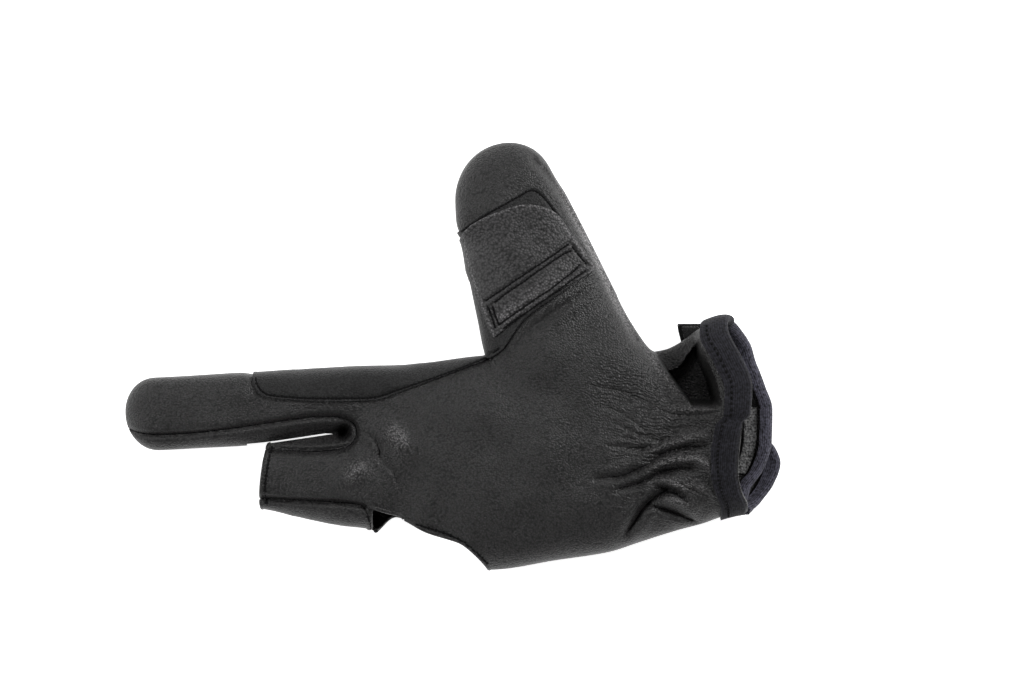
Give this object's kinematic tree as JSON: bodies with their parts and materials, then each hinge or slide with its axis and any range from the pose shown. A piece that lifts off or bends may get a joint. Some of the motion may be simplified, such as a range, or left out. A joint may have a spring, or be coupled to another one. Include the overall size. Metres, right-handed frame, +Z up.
{
  "type": "archery glove",
  "caption": "Right-hand leather archery glove, palm up: covered thumb and index finger, short open middle finger, open ring and little fingers, taped cuff with a closing strap.",
  "frame": {"origin": "on the surface that the glove lies on, under the middle of its outline", "axes": "+X from the index fingertip to the cuff, +Y from the edge of the hand to the thumb, +Z up, out of the palm"},
  "size_m": [0.2358, 0.1528, 0.0323],
  "materials": {
    "leather": "soft black grain leather, half matt",
    "overlay_leather": "fine-grained black leather, half matt",
    "tape": "ribbed blue-black tape",
    "pile": "black hook-and-loop fabric"
  },
  "bodies": {
    "root": {"hand_leather": "leather", "crotch_strip": "leather", "stub_strip": "leather", "web_leather": "overlay_leather", "thumb_flap": "overlay_leather", "cuff_tape": "tape", "closure_strap": "overlay_leather", "strap_tape": "tape", "hook_pad": "pile", "loop_strip": "pile"}
  },
  "joints": []
}
